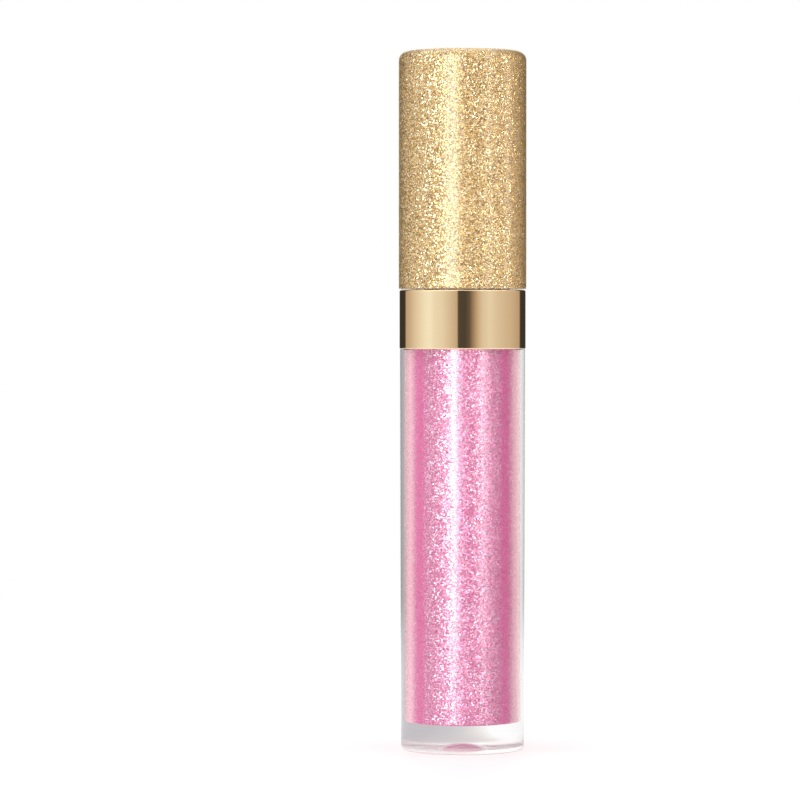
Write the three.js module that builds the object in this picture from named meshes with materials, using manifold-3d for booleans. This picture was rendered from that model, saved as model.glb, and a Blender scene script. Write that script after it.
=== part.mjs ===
// Lip gloss tube: a heavy clear bottle of gloss, closed by a screw cap that carries the applicator wand.
// Millimetres, +Z up. The origin is the centre of the bottle's underside, and the front faces -Y.
// The diameters build outwards from the bottle's bore, and the heights build upwards from its foot,
// so a change to one size carries every piece that fits to it.

import * as THREE from 'three';
import { mergeVertices } from 'three/addons/utils/BufferGeometryUtils.js';
import Module from 'manifold-3d';

const wasm = await Module();
wasm.setup();

// ---- Driving dimensions: heights ----

const BODY_H = 57.5; // the bottle's clear body, from its foot to the collar
const COLLAR_H = 8.5; // the metal collar
const CAP_H = 34.1; // the outer cap
const NECK_H = 10.5; // the neck that stands above the collar
const FLOOR_T = 4.0; // the solid base under the gloss
const HEADSPACE = 0.6; // air between the gloss and the wiper's lip
const WIPER_L = 14.4; // the wiper below the neck's rim
const TIP_L = 13.0; // the flocked tip
const TIP_REST = 2.5; // the tip's end above the bottle's floor
const SHANK_L = 13.1; // the applicator's shank, which plugs into the stem
const SOCKET_L = 10.0; // the stem's hold in the inner cap, above the ceiling

// ---- Driving dimensions: radii and walls ----

const BORE_R = 5.625; // the bottle's straight bore
const NECK_WALL = 1.075; // neck wall under the thread
const THREAD_DEPTH = 0.5;
const INNER_CAP_WALL = 0.7;
const CAP_WALL = 1.0; // the outer cap's side
const CAP_TOP_T = 1.5; // the outer cap's top
const COLLAR_WALL = 0.6;
const CAP_STEP = 0.15; // the cap stands proud of the bottle by this
const COLLAR_STEP = 0.075; // the collar stands proud of the bottle by this
const BODY_DRAFT = 0.15; // the foot is smaller than the top of the body by this
const WIPER_WALL = 0.6;
const WIPER_FLANGE_T = 0.9;
const WIPER_CONE_L = 3.0; // the cone that ends in the lip
const GASKET_T = 0.8;
const STEM_R = 2.7;
const STEM_WALL = 1.1;
const CEILING_T = 1.5; // the inner cap's ceiling, which presses on the gasket
const POST_WALL = 1.2; // the inner cap's post around the stem
const STEM_LEDGE = 0.9; // the step in the post that stops the stem
const TIP_W = 7.36; // the flocked tip, side to side
const TIP_D = 5.6; // the flocked tip, front to back
const TIP_SLANT_L = 6.7; // how much of the tip's length the slanted face takes
const FLOCK_T = 0.6;

// ---- Driving dimensions: thread ----

const THREAD_PITCH = 2.5;
const THREAD_TURNS = 1.25;
const THREAD_DROP = 6.1; // the thread's start below the neck's rim
const THREAD_ROOT_W = 1.1;
const THREAD_CREST_W = 0.5;
const THREAD_SINK = 0.25; // how far a ridge runs into the wall that carries it
const THREAD_RUN_OUT = Math.PI / 5; // the ridge fades over this angle at each end

// ---- Driving dimensions: edges and small forms ----

const FOOT_ROUND = 0.8;
const BORE_ROUND = 0.6;
const CAP_TOP_ROUND = 1.4;
const EDGE = 0.2; // a light break on moulded edges
const DIMPLE_R = 2.85; // the gate dimple under the foot
const DIMPLE_DEPTH = 1.2;
const SHANK_CHAMFER_L = 0.85;
const SHANK_CHAMFER_R = 0.35; // taken off the shank's radius at its end
const RIB_T = 0.9;
const RIBS = 6;

// The tip's slanted end, from its long slope round the nose to the tall side.
// Each point is a share of the tip's half width and a share of the slanted length.
const TIP_OUTLINE = {
  slopePull: [0.88, 0.62],
  slopeEnd: [-0.08, 0.93],
  nosePull: [-0.4, 1.05],
  noseEnd: [-0.7, 0.97],
  cornerPull: [-1, 0.9],
  cornerEnd: [-1, 0.65],
};

// ---- Clearances ----

const SLIP = 0.1; // round pieces that slide over each other
const PLUG_FIT = 0.075; // wiper and gloss in the bore
const THREAD_FIT = 0.15; // thread crest to the facing wall
const SEAT = 0.06; // faces that rest on each other
const CAP_GAP = 0.12; // cap to collar, when closed
const RISER_GAP = 0.3; // inner cap to the collar below it, and to the cap's top above it
const PART_GAP = 0.2; // flock to its core
const TIP_GAP = 0.3; // stem to the tip's base
const CHANNEL_FIT = 0.4; // gloss around the flocked tip
const CUT_OVER = 1; // a cutting form runs past what it cuts by this

// ---- Derived radii ----

const NECK_R = BORE_R + NECK_WALL;
const CREST_R = NECK_R + THREAD_DEPTH;
const INNER_CAP_IN_R = CREST_R + THREAD_FIT;
const INNER_CAP_R = INNER_CAP_IN_R + INNER_CAP_WALL;
const CAP_IN_R = INNER_CAP_R + SLIP;
const CAP_R = CAP_IN_R + CAP_WALL;
const BODY_R = CAP_R - CAP_STEP;
const FOOT_R = BODY_R - BODY_DRAFT;
const COLLAR_R = BODY_R + COLLAR_STEP;
const COLLAR_IN_R = COLLAR_R - COLLAR_WALL;
const SHOULDER_R = COLLAR_IN_R - SLIP;
const STEM_BORE_R = STEM_R - STEM_WALL;
const SHANK_R = STEM_BORE_R - SLIP;
const SOCKET_R = STEM_R + SLIP;
const POST_R = SOCKET_R + POST_WALL;
const ORIFICE_R = STEM_R + SLIP;
const CHANNEL_R = TIP_W / 2 + CHANNEL_FIT;

// ---- Derived heights ----

const COLLAR_TOP = BODY_H + COLLAR_H;
const SHOULDER_TOP = COLLAR_TOP - COLLAR_WALL - SEAT;
const NECK_TOP = COLLAR_TOP + NECK_H;
const CAP_BASE = COLLAR_TOP + CAP_GAP;
const CAP_TOP = CAP_BASE + CAP_H;
const LIP_Z = NECK_TOP - WIPER_L;
const GLOSS_TOP = LIP_Z - HEADSPACE;
const FLANGE_BASE = NECK_TOP + SEAT;
const FLANGE_TOP = FLANGE_BASE + WIPER_FLANGE_T;
const GASKET_BASE = FLANGE_TOP + SEAT;
const CEILING_Z = GASKET_BASE + GASKET_T + SEAT;
const SOCKET_TOP = CEILING_Z + SOCKET_L;
const POST_TOP = CAP_TOP - CAP_TOP_T - RISER_GAP;
const TIP_BASE = FLOOR_T + TIP_REST + TIP_L;
const STEM_BASE = TIP_BASE + TIP_GAP;
const THREAD_Z = NECK_TOP - THREAD_DROP;

// ---- Mesh tools ----

const SEGMENTS = 48;
const THREAD_STEPS = 32; // steps in a full turn of thread
const ARC_STEPS = 5;
const TIP_CURVE_STEPS = 8;
const FULL_TURN = 2 * Math.PI;
const WELD = 1e-5; // vertices nearer than this are one

const at = (radius, height) => new THREE.Vector2(radius, height);

/** Points of an arc about (radius, height), from one angle to another, in degrees. */
function arc(radius, height, round, from, to) {
  return Array.from({ length: ARC_STEPS + 1 }, (_, i) => {
    const angle = THREE.MathUtils.degToRad(from + ((to - from) * i) / ARC_STEPS);
    return at(radius + round * Math.cos(angle), height + round * Math.sin(angle));
  });
}

/** A closed geometry as a solid, once its shared vertices are merged. */
function solid(geometry) {
  geometry.deleteAttribute('normal');
  geometry.deleteAttribute('uv');
  const merged = mergeVertices(geometry, WELD);
  const corners = merged.index.array;
  const kept = [];
  for (let i = 0; i < corners.length; i += 3) {
    const [a, b, c] = corners.slice(i, i + 3);
    if (a !== b && b !== c && c !== a) kept.push(a, b, c);
  }
  return new wasm.Manifold(new wasm.Mesh({
    numProp: 3,
    vertProperties: new Float32Array(merged.attributes.position.array),
    triVerts: new Uint32Array(kept),
  }));
}

/** The solid that an outline makes around Z. The outline runs up the outside and down the inside. */
function turned(outline) {
  return solid(new THREE.LatheGeometry(outline, SEGMENTS).rotateX(Math.PI / 2));
}

/** The same for an outline that closes on itself. */
const turnedRing = (outline) => turned([...outline, outline[0]]);

/** A named mesh with its finish. */
function piece(name, made, finish) {
  const { vertProperties, triVerts } = made.getMesh();
  const geometry = new THREE.BufferGeometry();
  geometry.setAttribute('position', new THREE.BufferAttribute(vertProperties, 3));
  geometry.setIndex(new THREE.BufferAttribute(triVerts, 1));
  geometry.computeVertexNormals();
  const mesh = new THREE.Mesh(geometry, new THREE.MeshStandardMaterial(finish));
  mesh.name = name;
  return mesh;
}

/**
 * One helical ridge on a wall of radius wallR. It faces out where side is 1, and in where side is -1.
 * It starts at startAngle, THREAD_Z high, and sinks into the wall to nothing at both ends.
 */
function threadRidge(wallR, side, startAngle) {
  const steps = Math.round(THREAD_TURNS * THREAD_STEPS);
  const places = [];
  for (let i = 0; i <= steps; i++) {
    const turn = (i / steps) * THREAD_TURNS * FULL_TURN;
    const fromEnd = Math.min(turn, THREAD_TURNS * FULL_TURN - turn);
    const shown = Math.min(1, fromEnd / THREAD_RUN_OUT);
    const crest = wallR + side * (THREAD_DEPTH * shown - (1 - shown) * THREAD_SINK / 2);
    const root = wallR - side * THREAD_SINK;
    const z = THREAD_Z + (turn / FULL_TURN) * THREAD_PITCH;
    const section = [
      [root, -THREAD_ROOT_W / 2],
      [crest, -THREAD_CREST_W / 2],
      [crest, THREAD_CREST_W / 2],
      [root, THREAD_ROOT_W / 2],
    ];
    for (const [r, dz] of section) {
      places.push(r * Math.cos(startAngle + turn), r * Math.sin(startAngle + turn), z + dz);
    }
  }
  const faces = [];
  const quad = (a, b, c, d) => (side > 0 ? faces.push(a, b, c, a, c, d) : faces.push(a, c, b, a, d, c));
  const last = 4 * steps;
  for (let i = 0; i < last; i += 4) {
    for (let k = 0; k < 4; k++) {
      const next = (k + 1) % 4;
      quad(i + k, i + 4 + k, i + 4 + next, i + next);
    }
  }
  quad(0, 1, 2, 3);
  quad(last + 3, last + 2, last + 1, last);
  const geometry = new THREE.BufferGeometry();
  geometry.setAttribute('position', new THREE.Float32BufferAttribute(places, 3));
  geometry.setIndex(faces);
  return solid(geometry);
}

/**
 * The applicator tip's form, drawn in by inset all round: an oval column that points down, cut by a slanted
 * face that meets the tall side in a round nose. Its base is at TIP_BASE + rise.
 */
function tipForm(inset, rise) {
  const half = TIP_W / 2 - inset;
  const slantStart = TIP_L - TIP_SLANT_L - inset;
  const place = ([across, along]) => [half * across, slantStart + TIP_SLANT_L * along];
  const { slopePull, slopeEnd, nosePull, noseEnd, cornerPull, cornerEnd } = TIP_OUTLINE;
  const side = new THREE.Shape();
  side.moveTo(half, -rise);
  side.lineTo(half, slantStart);
  side.quadraticCurveTo(...place(slopePull), ...place(slopeEnd));
  side.quadraticCurveTo(...place(nosePull), ...place(noseEnd));
  side.quadraticCurveTo(...place(cornerPull), ...place(cornerEnd));
  side.lineTo(-half, -rise);
  const slabDepth = TIP_D + 2 * CUT_OVER;
  const slab = solid(new THREE.ExtrudeGeometry(side, {
    depth: slabDepth, bevelEnabled: false, curveSegments: TIP_CURVE_STEPS,
  }).translate(0, 0, -slabDepth / 2).rotateX(-Math.PI / 2).translate(0, 0, TIP_BASE));
  const oval = new THREE.Shape().absellipse(0, 0, half, TIP_D / 2 - inset, 0, FULL_TURN);
  const column = solid(new THREE.ExtrudeGeometry(oval, {
    depth: TIP_L + rise + 2 * CUT_OVER, bevelEnabled: false, curveSegments: SEGMENTS / 2,
  }).translate(0, 0, TIP_BASE - TIP_L - CUT_OVER));
  return slab.intersect(column);
}

// ---- Bottle side ----

/** Heavy-walled clear bottle: foot, straight bore, stepped shoulder for the collar, and threaded neck. */
function bottle() {
  const dimpleCurve = (DIMPLE_R ** 2 + DIMPLE_DEPTH ** 2) / (2 * DIMPLE_DEPTH);
  const dimpleAngle = THREE.MathUtils.radToDeg(Math.asin(DIMPLE_R / dimpleCurve));
  const wall = turned([
    at(0, DIMPLE_DEPTH),
    ...arc(0, DIMPLE_DEPTH - dimpleCurve, dimpleCurve, 90, 90 - dimpleAngle).slice(1),
    ...arc(FOOT_R - FOOT_ROUND, FOOT_ROUND, FOOT_ROUND, -90, 0),
    at(BODY_R, BODY_H - EDGE),
    at(BODY_R - EDGE, BODY_H),
    at(SHOULDER_R, BODY_H),
    at(SHOULDER_R, SHOULDER_TOP),
    at(NECK_R, SHOULDER_TOP),
    at(NECK_R, NECK_TOP - EDGE),
    at(NECK_R - EDGE, NECK_TOP),
    at(BORE_R, NECK_TOP),
    ...arc(BORE_R - BORE_ROUND, FLOOR_T + BORE_ROUND, BORE_ROUND, 0, -90),
    at(0, FLOOR_T),
  ]);
  return wall.add(threadRidge(NECK_R, 1, 0));
}

/** The gloss, as it stands around the wand. */
function glossFill() {
  const radius = BORE_R - PLUG_FIT;
  const base = FLOOR_T + SEAT;
  const channelFloor = FLOOR_T + TIP_REST - CHANNEL_FIT;
  return turned([
    at(0, base),
    ...arc(radius - BORE_ROUND, base + BORE_ROUND, BORE_ROUND, -90, 0),
    at(radius, GLOSS_TOP),
    at(CHANNEL_R, GLOSS_TOP),
    at(CHANNEL_R, channelFloor),
    at(0, channelFloor),
  ]);
}

/** Metal-finished collar over the shoulder, with a flange that turns in over its top. */
function collar() {
  const base = BODY_H + SEAT;
  return turnedRing([
    at(COLLAR_IN_R, base),
    at(COLLAR_R - EDGE, base),
    at(COLLAR_R, base + EDGE),
    at(COLLAR_R, COLLAR_TOP - EDGE),
    at(COLLAR_R - EDGE, COLLAR_TOP),
    at(CREST_R + 2 * SLIP, COLLAR_TOP),
    at(CREST_R + 2 * SLIP, COLLAR_TOP - COLLAR_WALL),
    at(COLLAR_IN_R, COLLAR_TOP - COLLAR_WALL),
  ]);
}

/** Soft wiper in the neck: flange, sleeve and cone, ending in the lip that strips the stem. */
function wiper() {
  const sleeveR = BORE_R - PLUG_FIT;
  const coneTop = LIP_Z + WIPER_CONE_L;
  return turnedRing([
    at(ORIFICE_R, LIP_Z),
    at(ORIFICE_R + WIPER_WALL, LIP_Z),
    at(sleeveR, coneTop),
    at(sleeveR, FLANGE_BASE),
    at(NECK_R - SLIP, FLANGE_BASE),
    at(NECK_R - SLIP, FLANGE_TOP),
    at(sleeveR - WIPER_WALL, FLANGE_TOP),
    at(sleeveR - WIPER_WALL, coneTop + WIPER_WALL / 2),
    at(ORIFICE_R, LIP_Z + WIPER_WALL),
  ]);
}

/** Foam gasket between the wiper's flange and the inner cap's ceiling. */
function neckGasket() {
  const innerR = STEM_R + 2 * SLIP;
  const outerR = NECK_R - 2 * SLIP;
  return turnedRing([
    at(innerR, GASKET_BASE),
    at(outerR, GASKET_BASE),
    at(outerR, GASKET_BASE + GASKET_T),
    at(innerR, GASKET_BASE + GASKET_T),
  ]);
}

// ---- Cap side ----

/** Outer cap: a plain cup, open at the bottom, with a round top edge. */
function capShell() {
  const ceiling = CAP_TOP - CAP_TOP_T;
  return turned([
    at(0, ceiling),
    at(CAP_IN_R - EDGE, ceiling),
    at(CAP_IN_R, ceiling - EDGE),
    at(CAP_IN_R, CAP_BASE),
    at(CAP_R - EDGE, CAP_BASE),
    at(CAP_R, CAP_BASE + EDGE),
    ...arc(CAP_R - CAP_TOP_ROUND, CAP_TOP - CAP_TOP_ROUND, CAP_TOP_ROUND, 0, 90),
    at(0, CAP_TOP),
  ]);
}

/** Inner cap: threaded skirt, ceiling, and the ribbed post that grips the stem. */
function innerCap() {
  const base = COLLAR_TOP + RISER_GAP;
  const ceilingTop = CEILING_Z + CEILING_T;
  const ledgeR = SOCKET_R - STEM_LEDGE;
  const body = turnedRing([
    at(SOCKET_R, CEILING_Z),
    at(INNER_CAP_IN_R, CEILING_Z),
    at(INNER_CAP_IN_R, base),
    at(INNER_CAP_R, base),
    at(INNER_CAP_R, ceilingTop),
    at(POST_R, ceilingTop),
    at(POST_R, POST_TOP),
    at(ledgeR, POST_TOP),
    at(ledgeR, SOCKET_TOP),
    at(SOCKET_R, SOCKET_TOP),
  ]);
  const ribStart = POST_R - POST_WALL / 2; // inside the post
  const ribEnd = INNER_CAP_R - EDGE;
  const ribFoot = ceilingTop - CEILING_T / 2; // inside the ceiling
  const ribTop = POST_TOP - EDGE;
  const ribs = Array.from({ length: RIBS }, (_, i) => {
    const rib = new THREE.BoxGeometry(ribEnd - ribStart, RIB_T, ribTop - ribFoot)
      .translate((ribStart + ribEnd) / 2, 0, (ribFoot + ribTop) / 2)
      .rotateZ((i * FULL_TURN) / RIBS);
    return solid(rib);
  });
  const thread = threadRidge(INNER_CAP_IN_R, -1, Math.PI);
  return [thread, ...ribs].reduce((whole, part) => whole.add(part), body);
}

/** Clear hollow stem, from the inner cap's post down to the tip. */
function stem() {
  const top = SOCKET_TOP - SEAT;
  return turnedRing([
    at(STEM_BORE_R, STEM_BASE),
    at(STEM_R, STEM_BASE),
    at(STEM_R, top),
    at(STEM_BORE_R, top),
  ]);
}

/** Applicator core: the shank that plugs into the stem, and the paddle under the flock. */
function applicatorCore() {
  const shankTop = TIP_BASE + SHANK_L;
  const root = TIP_BASE - SHANK_R; // inside the paddle
  const shank = turned([
    at(0, root),
    at(SHANK_R, root),
    at(SHANK_R, shankTop - SHANK_CHAMFER_L),
    at(SHANK_R - SHANK_CHAMFER_R, shankTop),
    at(0, shankTop),
  ]);
  return tipForm(FLOCK_T + PART_GAP, 0).add(shank);
}

/** Flocked sleeve of the tip, open at its base. */
const flockTip = () => tipForm(0, 0).subtract(tipForm(FLOCK_T, CUT_OVER));

// ---- Finishes ----

const CLEAR = { color: 0xf4f1f2, roughness: 0.05, metalness: 0, transparent: true, opacity: 0.35 };
const CLEAR_STEM = { color: 0xe9e6ea, roughness: 0.08, metalness: 0, transparent: true, opacity: 0.45 };
const PINK_GLOSS = { color: 0xd96aa6, roughness: 0.25, metalness: 0.15 };
const GOLD_METAL = { color: 0xd6a45a, roughness: 0.12, metalness: 1 };
const GOLD_GLITTER = { color: 0xc9a65e, roughness: 0.45, metalness: 0.6 };
const WHITE_PLASTIC = { color: 0xf3f1ec, roughness: 0.4, metalness: 0 };
const WIPER_PLASTIC = { color: 0xe6e4e0, roughness: 0.5, metalness: 0 };
const FOAM = { color: 0xfafafa, roughness: 0.9, metalness: 0 };
const CORE_PLASTIC = { color: 0xdfe3ee, roughness: 0.3, metalness: 0 };
const PINK_FLOCK = { color: 0xf2c9d3, roughness: 1, metalness: 0 };

// ---- Assembly ----

const bottleSide = new THREE.Group();
bottleSide.add(
  piece('bottle', bottle(), CLEAR),
  piece('gloss_fill', glossFill(), PINK_GLOSS),
  piece('collar', collar(), GOLD_METAL),
  piece('wiper', wiper(), WIPER_PLASTIC),
  piece('neck_gasket', neckGasket(), FOAM),
);

const capSide = new THREE.Group();
capSide.add(
  piece('cap_shell', capShell(), GOLD_GLITTER),
  piece('inner_cap', innerCap(), WHITE_PLASTIC),
  piece('stem', stem(), CLEAR_STEM),
  piece('applicator_core', applicatorCore(), CORE_PLASTIC),
  piece('flock_tip', flockTip(), PINK_FLOCK),
);

const group = new THREE.Group();
group.add(bottleSide, capSide);

export default group;
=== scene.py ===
# Looks of the lip gloss tube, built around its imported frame. Metres, +Z up; the front faces -Y.
import math

import bmesh
import bpy
import numpy as np
from mathutils import Matrix, Vector


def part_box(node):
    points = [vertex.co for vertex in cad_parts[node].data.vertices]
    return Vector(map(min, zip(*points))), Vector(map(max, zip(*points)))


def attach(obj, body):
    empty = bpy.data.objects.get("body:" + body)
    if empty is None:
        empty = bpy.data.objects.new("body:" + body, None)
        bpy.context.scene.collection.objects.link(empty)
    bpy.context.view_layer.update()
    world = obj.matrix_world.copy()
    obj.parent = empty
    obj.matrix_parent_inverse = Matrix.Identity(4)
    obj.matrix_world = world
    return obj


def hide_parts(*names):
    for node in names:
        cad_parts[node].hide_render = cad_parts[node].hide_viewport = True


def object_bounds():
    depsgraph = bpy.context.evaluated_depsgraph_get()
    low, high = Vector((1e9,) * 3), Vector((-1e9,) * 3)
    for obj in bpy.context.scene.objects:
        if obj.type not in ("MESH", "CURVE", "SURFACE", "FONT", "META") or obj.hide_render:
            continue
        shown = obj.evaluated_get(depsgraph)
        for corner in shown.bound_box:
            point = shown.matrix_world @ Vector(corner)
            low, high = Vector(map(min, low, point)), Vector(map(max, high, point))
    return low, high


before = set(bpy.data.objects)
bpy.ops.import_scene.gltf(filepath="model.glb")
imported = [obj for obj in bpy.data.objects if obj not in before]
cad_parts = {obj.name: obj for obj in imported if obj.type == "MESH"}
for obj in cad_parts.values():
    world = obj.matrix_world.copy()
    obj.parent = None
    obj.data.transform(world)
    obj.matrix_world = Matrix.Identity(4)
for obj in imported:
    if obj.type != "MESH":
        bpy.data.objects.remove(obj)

CAD_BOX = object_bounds()
MM = 0.001
TURN = 2 * math.pi


# ---- Sizes: read from the frame, with the fits that the frame's pieces keep between them ----

def low(node):
    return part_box(node)[0].z


def high(node):
    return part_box(node)[1].z


def radius(node):
    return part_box(node)[1].x


SEAT = 0.06 * MM  # between faces that rest on each other
SLIP = 0.1 * MM  # between round pieces that slide over each other
PLUG_FIT = 0.075 * MM  # between the bore and what fills it
WALL = 0.6 * MM  # collar and wiper
BODY_R = radius("bottle")
FOOT_R = BODY_R - 0.15 * MM
FOOT_ROUND = 0.8 * MM
DIMPLE_R, DIMPLE_DEPTH = 2.85 * MM, 1.2 * MM  # the gate's dimple in the foot
BODY_TOP = low("collar") - SEAT
COLLAR_R = radius("collar")
COLLAR_TOP = high("collar")
SHOULDER_R = COLLAR_R - WALL - SLIP
SHOULDER_TOP = COLLAR_TOP - WALL - SEAT
NECK_R = radius("wiper") + SLIP
NECK_TOP = high("bottle")
BORE_R = radius("gloss_fill") + PLUG_FIT
BORE_FLOOR = low("gloss_fill") - SEAT
THREAD_DEPTH = 0.5 * MM
THREAD_PITCH = 2.5 * MM
THREAD_TURNS = 1.25
THREAD_BASE = NECK_TOP - 6.1 * MM
THREAD_FOOT = THREAD_BASE - MM  # the neck is plain below this
THREAD_STEP = 0.11 * MM  # between the rings of a threaded wall
INNER_R = radius("inner_cap")
INNER_BORE_R = INNER_R - 0.7 * MM
CAP_R = radius("cap_shell")
CAP_BORE_R = INNER_R + SLIP
CAP_BASE = low("cap_shell")
CAP_TOP = high("cap_shell")
CEILING = high("neck_gasket") + SEAT
STEM_R = radius("stem")
STEM_BORE_R = STEM_R - 1.1 * MM
TIP_BASE = high("flock_tip")
TIP_HALF_X, TIP_HALF_Y = radius("flock_tip"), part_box("flock_tip")[1].y
SLANT_L = 6.7 * MM  # how much of the tip's length its slanted face takes
FLOCK_T = 0.3 * MM  # room for the fibres, between the form they stand on and the CAD's tip


# ---- Mesh tools ----

SEGMENTS = 160
STEM_SEGMENTS = 96
TIP_SEGMENTS = 72
FILM_SEGMENTS = 48
ARC_STEP = math.radians(11)
SHARP = math.radians(40)  # edges that turn more than this are not smoothed
SUPPORT = 0.12 * MM  # loops beside a round edge, which keep the flats' shading flat
TINY = 1e-6


def rounded(corners, closed):
    """Points of an outline through (r, z, round) corners, with an arc at each corner that has a round."""
    points = []
    count = len(corners)
    for i, (r, z, round_r) in enumerate(corners):
        here = np.array((r, z))
        if round_r <= 0 or (not closed and i in (0, count - 1)):
            points.append(here)
            continue
        before = np.array(corners[i - 1][:2]) - here
        after = np.array(corners[(i + 1) % count][:2]) - here
        reach = min(np.linalg.norm(before), np.linalg.norm(after))
        u, v = before / np.linalg.norm(before), after / np.linalg.norm(after)
        half = math.acos(max(-1, min(1, u @ v))) / 2
        setback = round_r / math.tan(half)
        centre = here + (u + v) / np.linalg.norm(u + v) * round_r / math.sin(half)
        spokes = here + u * setback - centre, here + v * setback - centre
        sweep = math.pi - 2 * half
        steps = max(2, math.ceil(sweep / ARC_STEP))
        if setback + SUPPORT < reach / 2:
            points.append(here + u * (setback + SUPPORT))
        for k in range(steps + 1):
            a = sweep * k / steps
            spoke = (spokes[0] * math.sin(sweep - a) + spokes[1] * math.sin(a)) / math.sin(sweep)
            points.append(centre + spoke)
        if setback + SUPPORT < reach / 2:
            points.append(here + v * (setback + SUPPORT))
    return points


def steps_between(low_end, high_end, spacing):
    """Heights from one end to the other, about spacing apart."""
    count = max(1, round(abs(high_end - low_end) / spacing))
    return [low_end + (high_end - low_end) * i / count for i in range(count + 1)]


def turned(points, closed=False, push=None, segments=SEGMENTS):
    """A solid of revolution about Z as a bmesh. push(r, z, angle) gives what to add to a point's radius."""
    bm = bmesh.new()
    rings = []
    for r, z in points:
        if r < TINY:
            rings.append([bm.verts.new((0, 0, z))])
            continue
        ring = []
        for k in range(segments):
            angle = TURN * k / segments
            rr = r + (push(r, z, angle) if push else 0)
            ring.append(bm.verts.new((rr * math.cos(angle), rr * math.sin(angle), z)))
        rings.append(ring)
    pairs = list(zip(rings, rings[1:]))
    if closed:
        pairs.append((rings[-1], rings[0]))
    for a, b in pairs:
        for k in range(segments):
            j = (k + 1) % segments
            corners = [a[k % len(a)], a[j % len(a)], b[j % len(b)], b[k % len(b)]]
            corners = list(dict.fromkeys(corners))
            if len(corners) > 2:
                bm.faces.new(corners)
    bmesh.ops.recalc_face_normals(bm, faces=bm.faces)
    return bm


def piece(name, bm, material, body, slot, *nodes):
    """A finished mesh object that stands for CAD nodes and rides on a body."""
    mesh = bpy.data.meshes.new(name)
    bm.to_mesh(mesh)
    bm.free()
    mesh.shade_smooth()
    mesh.set_sharp_from_angle(angle=SHARP)
    mesh.materials.append(material)
    made = bpy.data.objects.new(name, mesh)
    bpy.context.scene.collection.objects.link(made)
    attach(made, body)
    if nodes:
        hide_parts(*nodes)
    return made


def smooth_step(x):
    x = max(0.0, min(1.0, x))
    return x * x * (3 - 2 * x)


def thread(start_angle):
    """Gives share(z, angle): how proud a one-start thread stands there, from 0 to its full depth at 1."""
    span = THREAD_TURNS * TURN
    half_crest, half_root, fade = 0.22 * MM, 0.62 * MM, math.pi / 4

    def share(z, angle):
        best = 0.0
        for whole in range(3):
            turn = (angle - start_angle) % TURN + whole * TURN
            if turn > span:
                break
            off = abs(z - THREAD_BASE - turn / TURN * THREAD_PITCH)
            flank = smooth_step((half_root - off) / (half_root - half_crest))
            best = max(best, flank * smooth_step(min(turn, span - turn) / fade))
        return best

    return share


# ---- Material tools ----

class Nodes:
    """A node tree, with short ways to add and join nodes. where is the place that its patterns follow."""

    def __init__(self, tree, where):
        self.tree = tree
        self.where = self.add("ShaderNodeTexCoord").outputs[where]

    def add(self, kind, inputs=(), **settings):
        node = self.tree.nodes.new(kind)
        for key, value in settings.items():
            setattr(node, key, value)
        for key, value in dict(inputs).items():
            self.put(node.inputs[key], value)
        return node

    def put(self, socket, value):
        if isinstance(value, bpy.types.NodeSocket):
            self.tree.links.new(value, socket)
        else:
            socket.default_value = value

    def maths(self, operation, a, b=0.0):
        return self.add("ShaderNodeMath", {0: a, 1: b}, operation=operation).outputs[0]

    def vector(self, operation, a, b=(0, 0, 0)):
        return self.add("ShaderNodeVectorMath", {0: a, 1: b}, operation=operation).outputs[0]

    def scaled(self, vector, by):
        return self.add("ShaderNodeVectorMath", {0: vector, "Scale": by}, operation="SCALE").outputs[0]

    def axes(self, vector):
        return self.add("ShaderNodeSeparateXYZ", {0: vector}).outputs

    def length(self, vector):
        return self.add("ShaderNodeVectorMath", {0: vector}, operation="LENGTH").outputs["Value"]

    def noise(self, scale, detail=2.0, roughness=0.5, stretch=(1, 1, 1)):
        place = self.vector("MULTIPLY", self.where, stretch)
        inputs = {"Vector": place, "Scale": scale, "Detail": detail, "Roughness": roughness}
        return self.add("ShaderNodeTexNoise", inputs).outputs[0]

    def cells(self, scale):
        """Random cells, about scale of them to a metre: each one's own colour, and how far its middle is."""
        return self.add("ShaderNodeTexVoronoi", {"Vector": self.where, "Scale": scale}).outputs

    def flakes(self, scale):
        return self.cells(scale)["Color"]

    def ramp(self, value, stops):
        """stops are (position, colour) pairs, with the colour as three numbers or one grey."""
        node = self.add("ShaderNodeValToRGB", {0: value})
        band = node.color_ramp
        while len(band.elements) < len(stops):
            band.elements.new(1.0)
        for element, (position, colour) in zip(band.elements, stops):
            element.position = position
            rgb = colour if hasattr(colour, "__len__") else (colour,) * 3
            element.color = (*rgb, 1)
        return node.outputs[0]

    def mix(self, factor, a, b):
        """A mix of two colours, each a socket or three numbers."""
        node = self.add("ShaderNodeMix", data_type="RGBA")
        self.put(node.inputs[0], factor)
        for socket, value in ((node.inputs[6], a), (node.inputs[7], b)):
            self.put(socket, (*value, 1) if isinstance(value, tuple) else value)
        return node.outputs[2]

    def between(self, value, low_end, high_end):
        """value's place between two numbers, as a smooth share from 0 to 1."""
        inputs = {"Value": value, "From Min": low_end, "From Max": high_end}
        return self.add("ShaderNodeMapRange", inputs, interpolation_type="SMOOTHSTEP").outputs[0]

    def blend(self, factor, a, b):
        """A mix of two shaders."""
        return self.add("ShaderNodeMixShader", {0: factor, 1: a, 2: b}).outputs[0]

    def split(self, colour):
        return self.add("ShaderNodeSeparateColor", {0: colour}).outputs

    def bump(self, height, distance, strength):
        inputs = {"Height": height, "Distance": distance, "Strength": strength}
        return self.add("ShaderNodeBump", inputs).outputs[0]

    def normal(self):
        return self.add("ShaderNodeNewGeometry").outputs["Normal"]

    def tilted(self, colour, amount):
        """The surface's normal, leaning by each flake's random colour: most lean little, and a few a lot."""
        lean = self.scaled(self.vector("SUBTRACT", colour, (0.5, 0.5, 0.5)), 2)
        lean = self.scaled(lean, self.maths("MULTIPLY", self.length(lean), amount))
        return self.vector("NORMALIZE", self.vector("ADD", self.normal(), lean))


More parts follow.
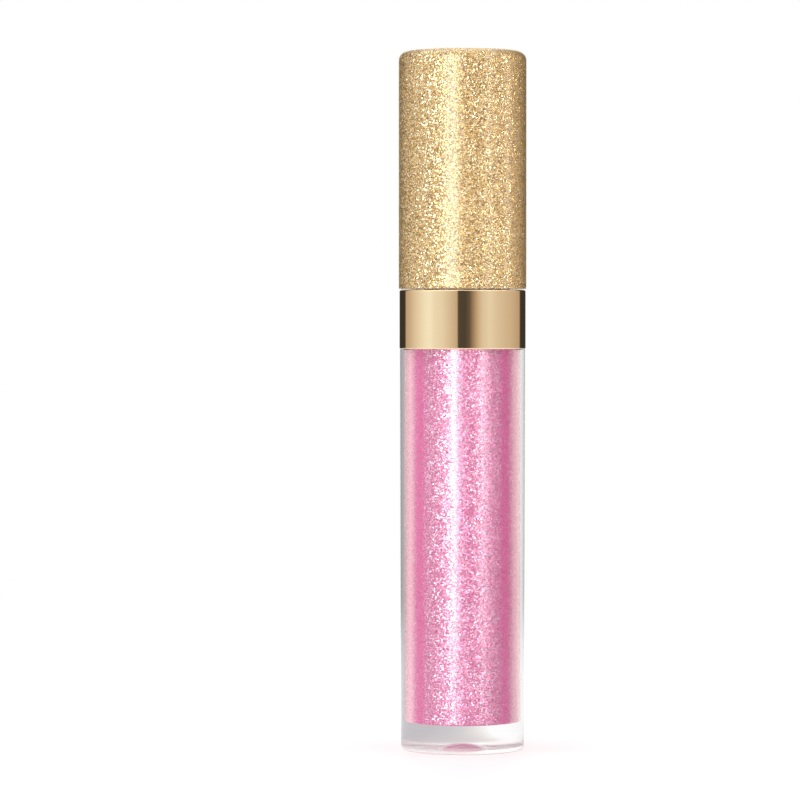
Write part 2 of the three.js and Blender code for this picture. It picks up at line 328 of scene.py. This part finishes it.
class Surface(Nodes):
    """A new material: its node tree and its main shader."""

    def __init__(self, name):
        self.material = bpy.data.materials.new(name)
        self.material.use_nodes = True
        super().__init__(self.material.node_tree, "Object")
        self.shader = self.tree.nodes["Principled BSDF"]
        self.output = self.tree.nodes["Material Output"]

    def finish(self, **inputs):
        """Fills the main shader's inputs, whose names are written with _ for a space."""
        for key, value in inputs.items():
            self.put(self.shader.inputs[key.replace("_", " ")], value)
        return self.material


# ---- Materials ----

def clear_plastic(name, tint, ior, matt_foot=False):
    """Polished clear plastic with the faint waviness of a moulding. With matt_foot, its foot and the roof of
    the foot's dimple are milky and matt."""
    n = Surface(name)
    waves = n.bump(n.noise(160, 1.0), 0.02 * MM, 0.5)
    rough = n.ramp(n.noise(900, 3.0), [(0.35, 0.0), (0.8, 0.02)])
    clear = 1.0
    if matt_foot:
        z = n.axes(n.where)["Z"]
        out = n.length(n.vector("MULTIPLY", n.where, (1, 1, 0)))
        foot = n.between(z, 0.9 * MM, 0.3 * MM)
        in_dimple = n.between(out, DIMPLE_R + 0.45 * MM, DIMPLE_R + 0.15 * MM)
        roof = n.maths("MULTIPLY", in_dimple, n.between(z, DIMPLE_DEPTH + 0.3 * MM, DIMPLE_DEPTH + 0.1 * MM))
        matt = n.maths("MAXIMUM", foot, n.maths("MULTIPLY", roof, 0.45))
        rough = n.maths("ADD", n.maths("MULTIPLY", matt, 0.2), rough)
        clear = n.maths("SUBTRACT", 1.0, n.maths("MULTIPLY", matt, 0.6))
    return n.finish(Base_Color=(*tint, 1), Transmission_Weight=clear, IOR=ior, Roughness=rough, Normal=waves)


def glitter_gloss_painted_sheen(name, painted_sheen=True):
    """Pink gloss full of glitter. If asked, it paints a sheen by view angle: a deep pink band, then a pale
    painted reflection edge on.
    """
    n = Surface(name)
    flakes = n.flakes(6900)
    fine = n.flakes(10500)
    pick = n.split(flakes)
    body = n.ramp(pick[0], [
        (0.0, (0.42, 0.02, 0.12)), (0.18, (0.66, 0.10, 0.28)), (0.55, (0.78, 0.18, 0.40)),
        (0.80, (0.84, 0.32, 0.54)), (0.88, (0.98, 0.80, 0.92)), (1.0, (1.0, 0.95, 0.98)),
    ])
    tints = n.ramp(n.split(fine)[1], [
        (0.0, (0.58, 0.07, 0.24)), (0.5, (0.76, 0.20, 0.42)), (0.82, (0.66, 0.42, 0.82)),
        (1.0, (1.0, 0.94, 0.96)),
    ])
    glitter = n.mix(0.3, body, tints)
    swirl = n.noise(70, 2.0, 0.6, (1, 1, 0.5))
    glitter = n.mix(n.ramp(swirl, [(0.35, 0.0), (0.75, 0.25)]), glitter, (0.72, 0.12, 0.33))
    colour, lean = glitter, n.tilted(flakes, 0.26)
    if painted_sheen:
        # Painted sheen by view angle: deep pink, then a pale painted reflection where the gloss is seen edge
        # on; its flakes lie flat there.
        facing = n.add("ShaderNodeLayerWeight", {"Blend": 0.5}).outputs["Facing"]
        deep = n.ramp(facing, [(0.20, 0.0), (0.29, 0.8), (0.36, 0.8), (0.48, 0.0)])
        pale = n.between(facing, 0.38, 0.60)
        colour = n.mix(deep, colour, (0.76, 0.09, 0.34))
        colour = n.mix(pale, colour, (0.96, 0.50, 0.60))
        lean = n.mix(pale, lean, n.normal())
    return n.finish(
        Base_Color=colour, Metallic=0.15, Roughness=n.ramp(pick[2], [(0, 0.15), (1, 0.35)]), Normal=lean,
        Coat_Weight=1.0, Coat_Roughness=0.22, Coat_Normal=n.tilted(flakes, 0.06),
    )


def polished_gold(name):
    """Metallised collar: a pale gold mirror with fine turning marks."""
    n = Surface(name)
    marks = n.noise(60, 3.0, 0.6, (0.3, 0.3, 60))
    rough = n.ramp(marks, [(0.3, 0.035), (0.75, 0.075)])
    tone = n.mix(n.noise(120, 2.0), (0.93, 0.78, 0.52), (0.90, 0.74, 0.47))
    return n.finish(Base_Color=tone, Metallic=1.0, Roughness=rough, Normal=n.bump(marks, 0.002 * MM, 0.3))


def gold_glitter(name):
    """Fine gold and champagne glitter under lacquer, each flake with its own lean and colour."""
    n = Surface(name)
    flakes = n.flakes(7800)
    fine = n.flakes(12000)
    pick = n.split(flakes)
    golds = [
        (0.0, (0.06, 0.025, 0.008)), (0.2, (0.34, 0.18, 0.045)), (0.45, (0.62, 0.41, 0.125)),
        (0.72, (0.80, 0.61, 0.25)), (0.86, (1.0, 0.92, 0.68)), (1.0, (1.0, 0.98, 0.92)),
    ]
    colour = n.mix(0.18, n.ramp(pick[0], golds), n.ramp(n.split(fine)[0], golds))
    rough = n.ramp(pick[1], [(0, 0.08), (1, 0.28)])
    return n.finish(
        Base_Color=colour, Metallic=0.45, Roughness=rough, Normal=n.tilted(flakes, 0.42),
        Coat_Weight=1.0, Coat_Roughness=0.3, Coat_Tint=(1.0, 0.95, 0.84, 1),
    )


def moulded_plastic(name, tone, roughness):
    """Satin moulded plastic with a fine grain."""
    n = Surface(name)
    grain = n.noise(2600, 3.0)
    darker = tuple(0.93 * c for c in tone)
    colour = n.mix(n.noise(140, 2.0), tone, darker)
    rough = n.ramp(grain, [(0.3, roughness - 0.06), (0.7, roughness + 0.08)])
    return n.finish(
        Base_Color=colour, Roughness=rough, Normal=n.bump(grain, 0.01 * MM, 0.4), Subsurface_Weight=0.15,
        Subsurface_Radius=(MM, MM, 0.8 * MM),
    )


def closed_foam(name):
    """White closed-cell foam: small round cells with soft walls, each painted darker towards its middle as
    shade in its pit.
    """
    n = Surface(name)
    wall = n.cells(5200)["Distance"]
    # Painted shade: a cell is darker towards its middle, where the bump makes it a pit.
    tone = n.ramp(wall, [(0.0, (0.80, 0.80, 0.79)), (0.5, (0.93, 0.93, 0.92))])
    rough = n.ramp(wall, [(0, 0.95), (0.6, 0.75)])
    return n.finish(Base_Color=tone, Roughness=rough, Normal=n.bump(wall, 0.05 * MM, 0.8))


def flowed_plastic(name):
    """Translucent blue-white plastic with streaks drawn out along the shank by the moulding."""
    n = Surface(name)
    streaks = n.noise(900, 3.0, 0.6, (1, 1, 0.06))
    tone = n.ramp(streaks, [
        (0.35, (0.66, 0.70, 0.80)), (0.6, (0.86, 0.88, 0.93)), (0.75, (0.96, 0.97, 0.98)),
    ])
    clear = n.ramp(streaks, [(0.4, 0.75), (0.7, 0.25)])
    return n.finish(
        Base_Color=tone, Transmission_Weight=clear, IOR=1.49,
        Roughness=n.ramp(streaks, [(0.3, 0.12), (0.7, 0.3)]), Normal=n.bump(streaks, 0.01 * MM, 0.5),
    )


def flock_fibre(name):
    """Short fibres, pale where they are dry and stained by gloss towards the slanted face and the nose."""
    n = Surface(name)
    place = n.axes(n.where)
    drop = n.maths("SUBTRACT", SLANT_TOP + 1.5 * MM, place["Z"])
    soak = n.maths("ADD", n.maths("MULTIPLY", drop, 110.0), n.maths("MULTIPLY", place["X"], 130.0))
    soak = n.maths("ADD", soak, n.maths("MULTIPLY", n.noise(500, 3.0, 0.65), 0.8))
    stain = n.between(soak, 0.35, 1.25)
    dry = n.ramp(n.split(n.flakes(9000))[0], [
        (0, (0.80, 0.55, 0.62)), (0.5, (0.88, 0.70, 0.75)), (1, (0.97, 0.87, 0.90)),
    ])
    wet = n.ramp(n.split(n.flakes(7000))[1], [
        (0, (0.72, 0.20, 0.42)), (0.6, (0.86, 0.42, 0.60)), (1, (0.97, 0.75, 0.85)),
    ])
    return n.finish(
        Base_Color=n.mix(stain, dry, wet), Roughness=n.ramp(stain, [(0, 0.9), (1, 0.4)]),
        Sheen_Weight=0.3, Sheen_Roughness=0.4,
    )


# ---- Bottle side ----

def bottle():
    """Clear bottle with a gate dimple in its foot and a thread on its neck."""
    curve = (DIMPLE_R ** 2 + DIMPLE_DEPTH ** 2) / (2 * DIMPLE_DEPTH)
    rim_in, rim_out = DIMPLE_R * 0.96, DIMPLE_R * 1.05
    dimple = []
    for r in steps_between(0, rim_in, 0.3 * MM):
        dimple.append((r, math.sqrt(curve ** 2 - r ** 2) - curve + DIMPLE_DEPTH))
    foot = rounded([
        (rim_in, dimple[-1][1], 0), (rim_out, 0, 0.3 * MM), (FOOT_R, 0, FOOT_ROUND),
        (BODY_R, BODY_TOP, 0.05 * MM), (SHOULDER_R, BODY_TOP, 0.1 * MM),
        (SHOULDER_R, SHOULDER_TOP, 0.15 * MM), (NECK_R, SHOULDER_TOP, 0.1 * MM), (NECK_R, THREAD_FOOT, 0),
    ], False)
    neck = [(NECK_R, z) for z in steps_between(THREAD_FOOT, NECK_TOP - 0.8 * MM, THREAD_STEP)[1:]]
    bore = rounded([
        (NECK_R, NECK_TOP - 0.7 * MM, 0), (NECK_R, NECK_TOP, 0.2 * MM), (BORE_R, NECK_TOP, 0.1 * MM),
        (BORE_R, BORE_FLOOR, 0.2 * MM), (0, BORE_FLOOR, 0),
    ], False)
    share = thread(0)

    def push(r, z, angle):
        on_neck = abs(r - NECK_R) < TINY and THREAD_FOOT < z
        return THREAD_DEPTH * share(z, angle) if on_neck else 0

    bm = turned([*dimple, *foot[1:], *neck, *bore], push=push)
    return piece("clear_bottle", bm, clear_plastic("clear_bottle", (0.99, 0.985, 0.985), 1.47, True),
                 "bottle_body", "clear_bottle", "bottle")


def gloss():
    """The gloss around the wand's channel. It is a hair wider than the bore, so that no air shows between it
    and the wall."""
    wet = 0.035 * MM
    top = high("gloss_fill")
    channel_r, channel_floor = 4.08 * MM, BORE_FLOOR + 2.1 * MM
    points = rounded([
        (0, BORE_FLOOR - wet, 0), (BORE_R + wet, BORE_FLOOR - wet, 0.15 * MM), (BORE_R + wet, top, 0.05 * MM),
        (channel_r, top, 0.3 * MM), (channel_r, channel_floor, 0.5 * MM), (0, channel_floor, 0),
    ], False)
    return piece("pink_gloss", turned(points), glitter_gloss_painted_sheen("pink_gloss"),
                 "bottle_body", "pink_gloss", "gloss_fill")


def collar():
    """Metallised collar, with a flange that turns in over the shoulder."""
    hole_r = NECK_R + THREAD_DEPTH + 2 * SLIP
    points = rounded([
        (COLLAR_R - WALL, low("collar"), 0.08 * MM), (COLLAR_R, low("collar"), 0.18 * MM),
        (COLLAR_R, COLLAR_TOP, 0.22 * MM), (hole_r, COLLAR_TOP, 0.12 * MM),
        (hole_r, COLLAR_TOP - WALL, 0.1 * MM), (COLLAR_R - WALL, COLLAR_TOP - WALL, 0.15 * MM),
    ], True)
    return piece("gold_collar", turned(points, closed=True), polished_gold("gold_collar"),
                 "bottle_body", "gold_metal", "collar")


def wiper():
    """Soft insert in the neck: flange, sleeve, cone, and the lip that strips the stem."""
    lip, top, flange_r = low("wiper"), high("wiper"), radius("wiper")
    hole_r, sleeve_r = STEM_R + SLIP, BORE_R - PLUG_FIT
    cone_top, flange = lip + 3 * MM, NECK_TOP + SEAT
    points = rounded([
        (hole_r, lip, 0.1 * MM), (hole_r + WALL, lip, 0.15 * MM), (sleeve_r, cone_top, 0.3 * MM),
        (sleeve_r, flange, 0.1 * MM), (flange_r, flange, 0.15 * MM), (flange_r, top, 0.25 * MM),
        (sleeve_r - WALL, top, 0.3 * MM), (sleeve_r - WALL, cone_top + WALL / 2, 0.3 * MM),
        (hole_r, lip + WALL, 0.12 * MM),
    ], True)
    soft_plastic = moulded_plastic("wiper_plastic", (0.84, 0.83, 0.81), 0.42)
    return piece("neck_insert", turned(points, closed=True), soft_plastic,
                 "bottle_body", "wiper_plastic", "wiper")


def gasket():
    """Foam ring on the wiper's flange, with the slightly uneven edge of a punched sheet."""
    bottom, top, rim_r = low("neck_gasket"), high("neck_gasket"), radius("neck_gasket")
    hole_r, uneven = STEM_R + 2 * SLIP, 0.012 * MM

    def push(r, z, angle):
        return uneven * (math.sin(7 * angle) + math.sin(12 * angle + 2))

    points = rounded([
        (hole_r, bottom, 0.15 * MM), (rim_r, bottom, 0.25 * MM), (rim_r, top, 0.25 * MM),
        (hole_r, top, 0.15 * MM),
    ], True)
    return piece("foam_ring", turned(points, closed=True, push=push), closed_foam("gasket_foam"),
                 "gasket_body", "gasket_foam", "neck_gasket")


# ---- Cap side ----

def add_mesh(bm, other):
    """Moves another bmesh into this one."""
    mesh = bpy.data.meshes.new("part")
    other.to_mesh(mesh)
    other.free()
    bm.from_mesh(mesh)
    bpy.data.meshes.remove(mesh)


def rib(near, far, bottom, top, thick, angle):
    """A straight rib that stands out from the axis at an angle, with round edges."""
    bm = bmesh.new()
    middle = Matrix.Translation(((near + far) / 2, 0, (bottom + top) / 2))
    bmesh.ops.create_cube(bm, size=1, matrix=middle @ Matrix.Diagonal((far - near, thick, top - bottom, 1)))
    bmesh.ops.bevel(bm, geom=bm.edges[:], offset=0.15 * MM, segments=2, profile=0.5, affect="EDGES")
    bmesh.ops.rotate(bm, verts=bm.verts, cent=(0, 0, 0), matrix=Matrix.Rotation(angle, 3, "Z"))
    return bm


def inner_cap():
    """White inner cap: threaded skirt, ceiling, and the ribbed post that grips the stem."""
    base, post_top = low("inner_cap"), high("inner_cap")
    ceiling_top, socket_top = CEILING + 1.5 * MM, high("stem") + SEAT
    hole_r = STEM_R + SLIP
    post_r, ledge_r = hole_r + 1.2 * MM, hole_r - 0.9 * MM
    skirt_low, skirt_high = base + 0.4 * MM, CEILING - 0.6 * MM
    skirt = [(INNER_BORE_R, z) for z in steps_between(skirt_low, skirt_high, THREAD_STEP)]
    outline = rounded([
        (INNER_BORE_R, skirt_high, 0), (INNER_BORE_R, CEILING, 0.3 * MM), (hole_r, CEILING, 0.2 * MM),
        (hole_r, socket_top, 0.1 * MM), (ledge_r, socket_top, 0.1 * MM), (ledge_r, post_top, 0.15 * MM),
        (post_r, post_top, 0.25 * MM), (post_r, ceiling_top, 0.4 * MM), (INNER_R, ceiling_top, 0.3 * MM),
        (INNER_R, base, 0.2 * MM), (INNER_BORE_R, base, 0.15 * MM), (INNER_BORE_R, skirt_low, 0),
    ], False)
    share = thread(math.pi)

    def push(r, z, angle):
        on_skirt = abs(r - INNER_BORE_R) < TINY and skirt_low < z < skirt_high
        return -THREAD_DEPTH * share(z, angle) if on_skirt else 0

    bm = turned([*skirt, *outline[1:-1]], closed=True, push=push)
    rib_count, rib_t, rooted = 6, 0.9 * MM, 0.6 * MM
    for k in range(rib_count):
        add_mesh(bm, rib(post_r - rooted, INNER_R - 0.2 * MM, ceiling_top - 0.75 * MM, post_top - 0.2 * MM,
                         rib_t, TURN * k / rib_count))
    return piece("white_inner_cap", bm, moulded_plastic("white_plastic", (0.90, 0.90, 0.88), 0.33),
                 "cap_body", "white_plastic", "inner_cap")


def stem():
    """Clear hollow stem."""
    bottom, top = low("stem"), high("stem")
    points = rounded([
        (STEM_BORE_R, bottom, 0.12 * MM), (STEM_R, bottom, 0.25 * MM), (STEM_R, top, 0.25 * MM),
        (STEM_BORE_R, top, 0.12 * MM),
    ], True)
    return piece("clear_tube", turned(points, closed=True, segments=STEM_SEGMENTS),
                 clear_plastic("clear_stem", (0.985, 0.98, 0.985), 1.49), "stem_body", "clear_stem", "stem")


def bend(start, pull, end, count=12):
    """Points of a curve from start to end that leans towards pull."""
    start, pull, end = np.array(start), np.array(pull), np.array(end)
    return [start * (1 - t) ** 2 + pull * 2 * t * (1 - t) + end * t * t for t in np.linspace(0, 1, count + 1)]


# The tip's slanted end, seen from the front: shares of its half width, and of its slanted length downwards.
TIP_EDGE = np.array([
    *bend((1, 0), (0.88, 0.62), (-0.08, 0.93)), *bend((-0.08, 0.93), (-0.4, 1.05), (-0.7, 0.97))[1:],
    *bend((-0.7, 0.97), (-1, 0.9), (-1, 0.65))[1:],
])
NOSE = int(TIP_EDGE[:, 1].argmax())
NOSE_SHARE = TIP_EDGE[NOSE, 1]
SLANT_TOP = low("flock_tip") + SLANT_L * NOSE_SHARE


def tip_span(share):
    """How far the tip reaches to -X and +X, as shares of its half width, this far down its slanted end."""
    left, right = TIP_EDGE[NOSE:][::-1], TIP_EDGE[:NOSE + 1]
    return np.interp(share, left[:, 1], left[:, 0]), np.interp(share, right[:, 1], right[:, 0])


def nose_squash(share):
    """How much the tip's depth is left near its nose, which is round from the side too."""
    start = 0.72
    return math.sqrt(max(0.0, 1 - ((share - start) / (NOSE_SHARE - start)) ** 2)) if share > start else 1.0


def rings_to_mesh(rings):
    """A closed mesh through rings of points, with a point at each end."""
    bm = bmesh.new()
    rows = [[bm.verts.new(p) for p in ring] for ring in rings]
    for a, b in zip(rows, rows[1:]):
        count = max(len(a), len(b))
        for k in range(count):
            j = (k + 1) % count
            bm.faces.new(dict.fromkeys([a[k % len(a)], a[j % len(a)], b[j % len(b)], b[k % len(b)]]))
    bmesh.ops.recalc_face_normals(bm, faces=bm.faces)
    return bm


def tip_form(inset):
    """The doe-foot tip, drawn in by inset: an oval column cut by a slanted face that ends in a round nose."""
    half_x, half_y = TIP_HALF_X - inset, TIP_HALF_Y - inset
    top, slant_top = TIP_BASE - 0.3 * inset, SLANT_TOP + inset
    levels = [(top, 0.55, 0.0), (top, 0.9, 0.0), (top - 0.08 * MM, 0.97, 0.0)]
    levels += [(z, 1.0, 0.0) for z in steps_between(top - 0.35 * MM, slant_top, 0.4 * MM)[:-1]]
    levels += [(slant_top - SLANT_L * s, 1.0, s) for s in np.linspace(0, NOSE_SHARE * 0.997, 36)]
    rings = [[(0, 0, top)]]
    for z, grow, share in levels:
        left, right = tip_span(share)
        ring = []
        for k in range(TIP_SEGMENTS):
            x, y = math.cos(TURN * k / TIP_SEGMENTS), math.sin(TURN * k / TIP_SEGMENTS)
            ring.append((half_x * max(left, min(right, x * grow)), half_y * y * grow * nose_squash(share), z))
        rings.append(ring)
    rings.append([(half_x * TIP_EDGE[NOSE, 0], 0, slant_top - SLANT_L * NOSE_SHARE)])
    bm = rings_to_mesh(rings)
    for _ in range(5):  # softens the edge of the slanted face
        bmesh.ops.smooth_vert(
            bm, verts=bm.verts, factor=0.5, use_axis_x=True, use_axis_y=True, use_axis_z=True)
    return bm


def core():
    """Shank that plugs into the stem, with a chamfered end, and the paddle under the flock."""
    top, shank_r = high("applicator_core"), STEM_BORE_R - SLIP
    root = TIP_BASE - shank_r
    chamfer_r, chamfer_h = 0.35 * MM, 0.85 * MM
    paddle_inset = 0.8 * MM
    bm = turned(rounded([
        (0, root, 0), (shank_r, root, 0.1 * MM), (shank_r, top - chamfer_h, 0.1 * MM),
        (shank_r - chamfer_r, top, 0.06 * MM), (0, top, 0),
    ], False), segments=STEM_SEGMENTS)
    add_mesh(bm, tip_form(paddle_inset))
    return piece("tip_core", bm, flowed_plastic("core_plastic"),
                 "cap_body", "core_plastic", "applicator_core")


FLOCK_SEED = 11
FIBRES = 13000
FIBRE_L = 0.22 * MM, 0.46 * MM  # shortest and longest
FIBRE_R = 0.024 * MM
FIBRE_ROOT = 0.03 * MM  # how deep a fibre is set in the form
FIBRE_LEAN = 0.55


def fibre(bm, rng, root, normal):
    """A fibre on a face of the tip: a thin three-sided spike that leans its own way."""
    lean = normal + rng.normal(0, FIBRE_LEAN, 3)
    lean /= np.linalg.norm(lean)
    side = np.cross(lean, rng.normal(0, 1, 3))
    side /= np.linalg.norm(side)
    other = np.cross(lean, side)
    end = root + lean * rng.uniform(*FIBRE_L)
    root = root - normal * FIBRE_ROOT
    base = []
    for angle in (0, TURN / 3, 2 * TURN / 3):
        base.append(bm.verts.new(root + (side * math.cos(angle) + other * math.sin(angle)) * FIBRE_R))
    tip = bm.verts.new(end)
    bm.faces.new(base[::-1])
    for k in range(3):
        bm.faces.new((base[k], base[(k + 1) % 3], tip))


def flock():
    """Flocked sleeve of the tip: a soft form covered with short fibres."""
    bm = tip_form(FLOCK_T)
    rng = np.random.default_rng(FLOCK_SEED)
    places = np.array([[loop.vert.co for loop in corners] for corners in bm.calc_loop_triangles()])
    across = np.cross(places[:, 1] - places[:, 0], places[:, 2] - places[:, 0])
    area = np.linalg.norm(across, axis=1)
    kept = area > 0
    places, across, area = places[kept], across[kept], area[kept]
    for pick in rng.choice(len(area), size=FIBRES, p=area / area.sum()):
        u, v = rng.random(2)
        if u + v > 1:
            u, v = 1 - u, 1 - v
        a, b, c = places[pick]
        fibre(bm, rng, a + (b - a) * u + (c - a) * v, across[pick] / area[pick])
    return piece("flocked_tip", bm, flock_fibre("pink_flock"), "cap_body", "pink_flock", "flock_tip")


def wet_gloss():
    """Gloss that the tip's slanted face picks up: a thick film that bulges over it and thins to the nose."""
    half_x, half_y = TIP_HALF_X - FLOCK_T, TIP_HALF_Y - FLOCK_T
    over, under, overhang = 0.42 * MM, 0.25 * MM, 0.2 * MM  # above and below the face, and past its sides
    least_width = 0.16
    shares = np.linspace(0.03, 0.96, 34)
    path = [np.array((half_x * tip_span(s)[1], SLANT_TOP - SLANT_L * s)) for s in shares]
    rings = []
    for i, share in enumerate(shares):
        along = path[min(i + 1, len(path) - 1)] - path[max(i - 1, 0)]
        out = np.array((-along[1], along[0])) / np.linalg.norm(along)
        room = math.sqrt(max(0.0, 1 - tip_span(share)[1] ** 2))
        reach = (half_y + overhang) * max(least_width, room * nose_squash(share))
        swell = math.sin(math.pi * (i + 0.5) / len(shares)) ** 0.5
        ring = []
        for k in range(FILM_SEGMENTS):
            angle = TURN * k / FILM_SEGMENTS
            v, up = math.cos(angle), math.sin(angle)
            lump = 1 + 0.16 * math.sin(9 * share + 2.2 * v) + 0.1 * math.sin(23 * share - 5 * v)
            thick = up * swell * (over * lump if up > 0 else under)
            x, z = path[i] + out * thick
            ring.append((x, reach * v * (1 + 0.06 * math.sin(17 * share + 3 * v)), z))
        rings.append(ring)
    first, last = ([tuple(np.mean(ring, axis=0))] for ring in (rings[0], rings[-1]))
    bm = rings_to_mesh([first, *rings, last])
    return piece("gloss_on_tip", bm, glitter_gloss_painted_sheen("wet_gloss", painted_sheen=False), "cap_body", "pink_gloss")


def cap():
    """Glittered outer cap, a cup open at the bottom."""
    ceiling = CAP_TOP - 1.5 * MM
    points = rounded([
        (0, ceiling, 0), (CAP_BORE_R, ceiling, 0.3 * MM), (CAP_BORE_R, CAP_BASE, 0.12 * MM),
        (CAP_R, CAP_BASE, 0.2 * MM), (CAP_R, CAP_TOP, 1.4 * MM), (0, CAP_TOP, 0),
    ], False)
    return piece("glitter_cap", turned(points), gold_glitter("gold_glitter"),
                 "cap_body", "gold_glitter", "cap_shell")


# ---- Stage ----

STUDIO = [  # (azimuth in degrees, 0 towards the camera and positive to +X; brightness)
    (-180, 0.9), (-170, 0.9), (-165, 0.04), (-130, 0.05), (-126, 0.56), (-113, 0.63), (-101, 0.75),
    (-90, 0.84), (-71, 0.98), (-62, 1.0), (-54, 0.92), (-38, 0.86), (-23, 0.73), (-10.5, 0.6),
    (-8.5, 0.09), (4, 0.08), (12, 0.14), (21, 0.45), (28, 0.64), (36, 0.78), (50, 0.86),
    (68, 0.76), (97, 0.66), (122, 0.55), (126, 0.5), (130, 0.05), (165, 0.04), (170, 0.9), (180, 0.9),
]


def warm(level):
    """A studio light's colour at a brightness: white where it is full, and warmer as it falls off."""
    fall = min(1.0, 2 * level)
    return level, level ** (1 + 0.45 * fall), level ** (1 + 0.85 * fall)


def backdrop_painted_shadow(n, x):
    """What shows through the clear plastic, by how far a ray leans to +X: white paper with a painted shadow,
    grey towards +X.
    """
    return n.ramp(n.maths("ADD", n.maths("MULTIPLY", x, 0.5), 0.5), [
        (0.0, 0.9), (0.36, 1.0), (0.415, 1.0), (0.435, (0.92, 0.90, 0.87)), (0.475, (0.76, 0.72, 0.70)),
        (0.515, (0.65, 0.62, 0.63)), (0.556, (0.59, 0.56, 0.58)), (0.62, (0.54, 0.51, 0.54)),
        (1.0, (0.50, 0.48, 0.50)),
    ])


def sky():
    """Studio light: two tall softboxes at the sides, dark between them, and a broad light from above."""
    world = bpy.data.worlds.new("studio")
    bpy.context.scene.world = world
    world.use_nodes = True
    n = Nodes(world.node_tree, "Generated")
    x, y, z = n.axes(n.where)
    angle = n.maths("ARCTAN2", x, n.maths("MULTIPLY", y, -1.0))
    along = n.maths("ADD", n.maths("DIVIDE", angle, TURN), 0.5)
    sides = n.ramp(along, [((a + 180) / 360, warm(level)) for a, level in STUDIO])
    off_level = n.between(n.maths("ABSOLUTE", z), 0.08, 0.3)
    sides = n.scaled(sides, n.maths("ADD", n.maths("MULTIPLY", off_level, 0.5), 1.0))
    light = n.mix(n.between(z, 0.62, 0.85), sides, (1.7, 1.75, 1.8))
    path = n.add("ShaderNodeLightPath").outputs
    # Rays that have passed through clear plastic see white paper with a painted grey shadow instead of the
    # studio light.
    light = n.mix(path["Is Transmission Ray"], light, backdrop_painted_shadow(n, x))
    n.put(n.tree.nodes["Background"].inputs["Color"], n.mix(path["Is Camera Ray"], light, (1.0, 1.0, 1.0)))


LAMP_AWAY, LAMP_MIDDLE, LAMP_TALL = 0.7, 0.12, 0.7  # its distance, the height of its middle, its own height


def lamp(name, azimuth, width, radiance, receivers, soft=False):
    """A standing light for chosen pieces. It shows only as a reflection in them, or where soft only as
    diffuse light."""
    data = bpy.data.lights.new(name, "AREA")
    data.shape = "RECTANGLE"
    data.size, data.size_y = width, LAMP_TALL
    data.energy = radiance * math.pi * width * LAMP_TALL
    data.color = (1.0, 0.99, 0.96)
    made = bpy.data.objects.new(name, data)
    angle = math.radians(azimuth)
    made.location = (LAMP_AWAY * math.sin(angle), -LAMP_AWAY * math.cos(angle), LAMP_MIDDLE)
    aim = Vector((0, 0, (CAD_BOX[0].z + CAD_BOX[1].z) / 2)) - made.location
    made.rotation_euler = aim.to_track_quat("-Z", "Y").to_euler()
    made.visible_camera = False
    made.visible_diffuse = soft
    made.visible_glossy = not soft
    bpy.context.scene.collection.objects.link(made)
    lit = bpy.data.collections.new(name + "_receivers")
    for receiver in receivers:
        lit.objects.link(receiver)
    made.light_linking.receiver_collection = lit


def floor():
    """A wide pale floor that fades away far from the object. Through clear plastic it glows with white paper
    and a painted grey shadow.
    """
    bm = bmesh.new()
    bmesh.ops.create_circle(bm, cap_ends=True, segments=96, radius=6.0)
    mesh = bpy.data.meshes.new("floor")
    bm.to_mesh(mesh)
    bm.free()
    n = Surface("floor")
    n.finish(Base_Color=n.mix(n.noise(30, 4.0), (0.95, 0.95, 0.96), (0.93, 0.93, 0.94)), Roughness=0.6)
    path = n.add("ShaderNodeLightPath").outputs
    glow = n.add("ShaderNodeEmission", {"Color": (1, 1, 1, 1)}).outputs[0]
    gone = n.add("ShaderNodeBsdfTransparent").outputs[0]
    far = n.blend(path["Is Camera Ray"], gone, glow)
    near = n.blend(n.between(n.length(n.where), 0.10, 0.35), n.shader.outputs[0], far)
    side = n.axes(n.vector("NORMALIZE", n.where))["X"]
    # Painted shadow: through clear plastic the floor glows white, turning grey towards +X, instead of being
    # lit.
    through = n.add("ShaderNodeEmission", {"Color": backdrop_painted_shadow(n, side)}).outputs[0]
    n.put(n.output.inputs[0], n.blend(path["Is Transmission Ray"], near, through))
    mesh.materials.append(n.material)
    made = bpy.data.objects.new("floor", mesh)
    made.location.z = -0.02 * MM
    bpy.context.scene.collection.objects.link(made)


def camera():
    """The photo's camera: a long lens in front of the tube, to the left of it and tilted a little down."""
    data = bpy.data.cameras.new("camera")
    data.lens = 189
    data.sensor_width = 36
    data.clip_start = 0.01
    made = bpy.data.objects.new("camera", data)
    tilt = 1.0912
    made.location = (-8.97 * MM, -602.7 * MM, 61.7 * MM)
    made.rotation_euler = (math.radians(90 - tilt), 0, 0)
    bpy.context.scene.collection.objects.link(made)
    bpy.context.scene.camera = made


clear = bottle()
clear.visible_shadow = False  # so that light reaches the gloss through the clear wall
collar().visible_shadow = False  # and right up to the collar
pink = [gloss(), wet_gloss()]
rest = [cap(), wiper(), gasket(), inner_cap(), stem(), core(), flock()]
sky()
lamp("gloss_streak", azimuth=-20, width=0.17, radiance=36, receivers=pink)
lamp("gloss_glint", azimuth=46, width=0.1, radiance=26, receivers=pink)
lamp("gloss_left", azimuth=-52, width=0.5, radiance=2.4, receivers=[*pink, clear], soft=True)
lamp("gloss_right", azimuth=52, width=0.5, radiance=2.9, receivers=[*pink, clear], soft=True)
lamp("cap_streak", azimuth=-20, width=0.3, radiance=8, receivers=rest)
lamp("cap_glint", azimuth=48, width=0.025, radiance=22, receivers=rest)
lamp("cap_glint_side", azimuth=88, width=0.025, radiance=18, receivers=rest)
floor()
camera()
bpy.context.scene.view_settings.view_transform = "Standard"
